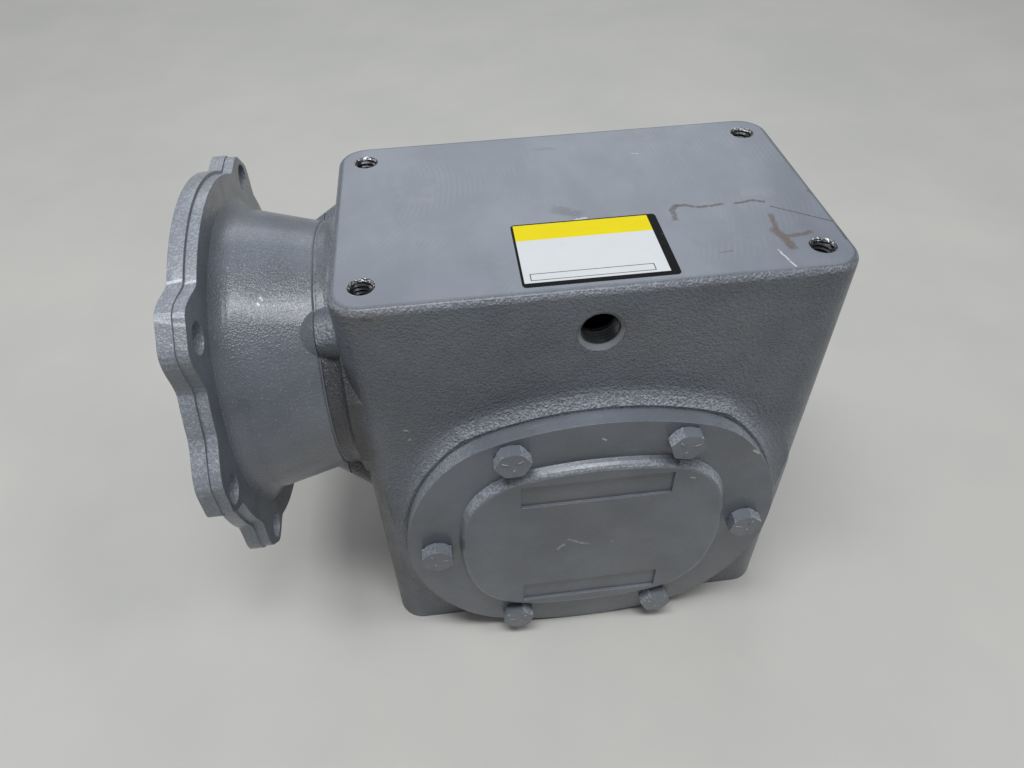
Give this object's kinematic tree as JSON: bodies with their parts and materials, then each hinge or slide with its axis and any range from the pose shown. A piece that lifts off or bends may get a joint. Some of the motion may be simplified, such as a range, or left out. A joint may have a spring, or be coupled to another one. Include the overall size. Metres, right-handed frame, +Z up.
{
  "type": "worm gear reducer",
  "caption": "Right-angle worm gear reducer: cast housing, motor flange with hollow input worm, throated bronze wheel and solid output shaft on taper roller bearings.",
  "frame": {"origin": "on the base face, under the crossing of the worm's and the output shaft's directions", "axes": "+X along the worm, away from the motor; +Y along the output shaft, out of the housing; +Z up"},
  "size_m": [0.237, 0.2155, 0.2145],
  "materials": {
    "painted_iron": "satin blue-grey enamel over rough cast iron",
    "painted_bolts": "satin blue-grey enamel over steel bolt heads",
    "gasket": "pressed fibre sheet",
    "seal_rubber": "moulded nitrile rubber",
    "ground_steel": "ground alloy steel",
    "bearing_steel": "honed bearing steel",
    "pressed_steel": "bright pressed steel sheet",
    "black_steel": "black oxide steel",
    "bronze": "machined centrifugally cast bronze",
    "hub_iron": "machined cast iron"
  },
  "bodies": {
    "casing": {"housing": "painted_iron", "input_flange": "painted_iron", "flange_gasket": "gasket", "flange_screws": "black_steel", "input_seal": "seal_rubber", "input_bearing_outer": "bearing_steel", "end_bearing_outer": "bearing_steel", "bore_retaining_ring": "black_steel", "end_plug": "pressed_steel", "near_bearing_cup": "bearing_steel", "far_bearing_cup": "bearing_steel", "closed_cover": "painted_iron", "closed_cover_shims": "gasket", "closed_cover_bolts": "painted_bolts", "open_cover": "painted_iron", "open_cover_shims": "gasket", "open_cover_bolts": "painted_bolts", "output_seal": "seal_rubber", "pipe_plugs": "black_steel"},
    "worm": {"worm_shaft": "ground_steel", "input_bearing_inner": "bearing_steel", "end_bearing_inner": "bearing_steel", "shaft_retaining_ring": "black_steel"},
    "output": {"worm_wheel": "bronze", "wheel_hub": "hub_iron", "wheel_key": "ground_steel", "output_shaft": "ground_steel", "spacer_sleeve": "ground_steel", "near_bearing_cone": "bearing_steel", "far_bearing_cone": "bearing_steel"},
    "input_rolling": {"input_bearing_balls": "bearing_steel", "input_bearing_cage": "pressed_steel"},
    "end_rolling": {"end_bearing_balls": "bearing_steel", "end_bearing_cage": "pressed_steel"},
    "near_rolling": {"near_bearing_rollers": "bearing_steel", "near_bearing_cage": "pressed_steel"},
    "far_rolling": {"far_bearing_rollers": "bearing_steel", "far_bearing_cage": "pressed_steel"}
  },
  "joints": [
    {"name": "worm_spin", "type": "hinge", "parent": "casing", "child": "worm", "pos_m": [0, 0, 0.13968], "axis": [1, 0, 0], "continuous": true},
    {"name": "output_spin", "type": "hinge", "parent": "casing", "child": "output", "pos_m": [0, 0, 0.073], "axis": [0, 1, 0], "continuous": true},
    {"name": "input_rolling_spin", "type": "hinge", "parent": "casing", "child": "input_rolling", "pos_m": [0, 0, 0.13968], "axis": [1, 0, 0], "continuous": true},
    {"name": "end_rolling_spin", "type": "hinge", "parent": "casing", "child": "end_rolling", "pos_m": [0, 0, 0.13968], "axis": [1, 0, 0], "continuous": true},
    {"name": "near_rolling_spin", "type": "hinge", "parent": "casing", "child": "near_rolling", "pos_m": [0, 0, 0.073], "axis": [0, 1, 0], "continuous": true},
    {"name": "far_rolling_spin", "type": "hinge", "parent": "casing", "child": "far_rolling", "pos_m": [0, 0, 0.073], "axis": [0, 1, 0], "continuous": true}
  ],
  "couplings": [
    {"joint": "output_spin", "follows": "worm_spin", "ratio": -0.033333},
    {"joint": "input_rolling_spin", "follows": "worm_spin", "ratio": 0.3966},
    {"joint": "end_rolling_spin", "follows": "worm_spin", "ratio": 0.397},
    {"joint": "near_rolling_spin", "follows": "worm_spin", "ratio": -0.014433},
    {"joint": "far_rolling_spin", "follows": "worm_spin", "ratio": -0.014433}
  ]
}
